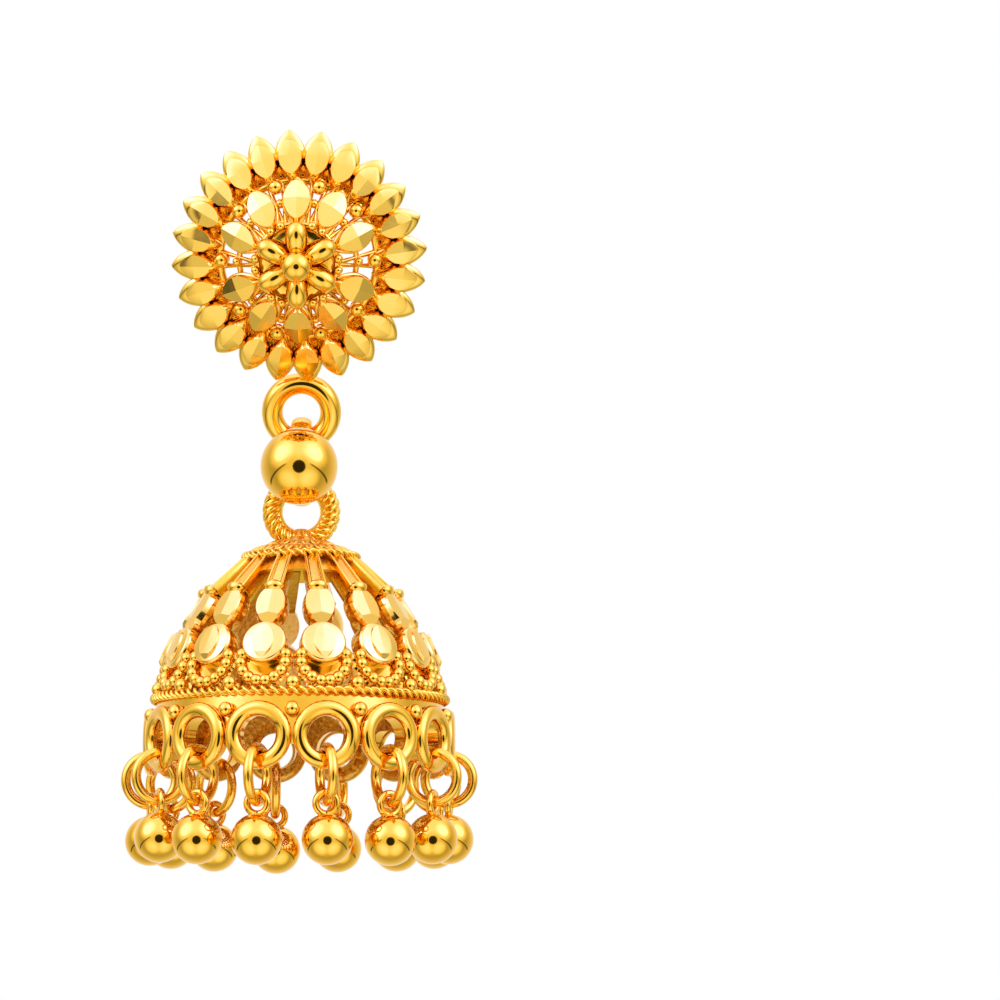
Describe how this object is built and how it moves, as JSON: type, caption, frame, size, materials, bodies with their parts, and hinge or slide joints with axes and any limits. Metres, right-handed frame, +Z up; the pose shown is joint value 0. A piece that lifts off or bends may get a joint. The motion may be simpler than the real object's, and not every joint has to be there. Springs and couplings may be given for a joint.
{
  "type": "jhumka earring",
  "caption": "Gold jhumka drop earring: a domed openwork rosette stud on a post, a ball link, and a filigree bell fringed with round bead drops.",
  "frame": {"origin": "where the axis of the ear post crosses the plane of the back of the rosette, at the ear lobe", "axes": "+Z up as the earring hangs, -Y to the front, +X to the right seen from the front; the rosette leans 20 degrees, top forward"},
  "size_m": [0.024, 0.0238, 0.0491],
  "materials": {
    "stud_gold": "polished and diamond-cut yellow gold",
    "post_gold": "plain drawn wire, satin",
    "connector_gold": "mirror-polished yellow gold",
    "bell_gold": "polished filigree with bright-cut facets",
    "ring_gold": "polished round wire",
    "ball_gold": "mirror-polished hollow beads"
  },
  "bodies": {
    "stud": {"stud": "stud_gold", "ear_post": "post_gold"},
    "connector": {"connector": "connector_gold"},
    "bell": {"bell": "bell_gold", "drop_ring_01": "ring_gold", "drop_ring_02": "ring_gold", "drop_ring_03": "ring_gold", "drop_ring_04": "ring_gold", "drop_ring_05": "ring_gold", "drop_ring_06": "ring_gold", "drop_ring_07": "ring_gold", "drop_ring_08": "ring_gold", "drop_ring_09": "ring_gold", "drop_ring_10": "ring_gold", "drop_ring_11": "ring_gold", "drop_ring_12": "ring_gold", "drop_ring_13": "ring_gold", "drop_ring_14": "ring_gold", "drop_ball_01": "ball_gold", "drop_ball_02": "ball_gold", "drop_ball_03": "ball_gold", "drop_ball_04": "ball_gold", "drop_ball_05": "ball_gold", "drop_ball_06": "ball_gold", "drop_ball_07": "ball_gold", "drop_ball_08": "ball_gold", "drop_ball_09": "ball_gold", "drop_ball_10": "ball_gold", "drop_ball_11": "ball_gold", "drop_ball_12": "ball_gold", "drop_ball_13": "ball_gold", "drop_ball_14": "ball_gold"}
  },
  "joints": [
    {"name": "link_swing", "type": "hinge", "parent": "stud", "child": "connector", "pos_m": [0, 0.00466, -0.01191], "axis": [1, 0, 0], "range_deg": [-30, 30]},
    {"name": "bell_swing", "type": "hinge", "parent": "connector", "child": "bell", "pos_m": [0, 0.00466, -0.01681], "axis": [0, 1, 0], "range_deg": [-30, 30]}
  ]
}
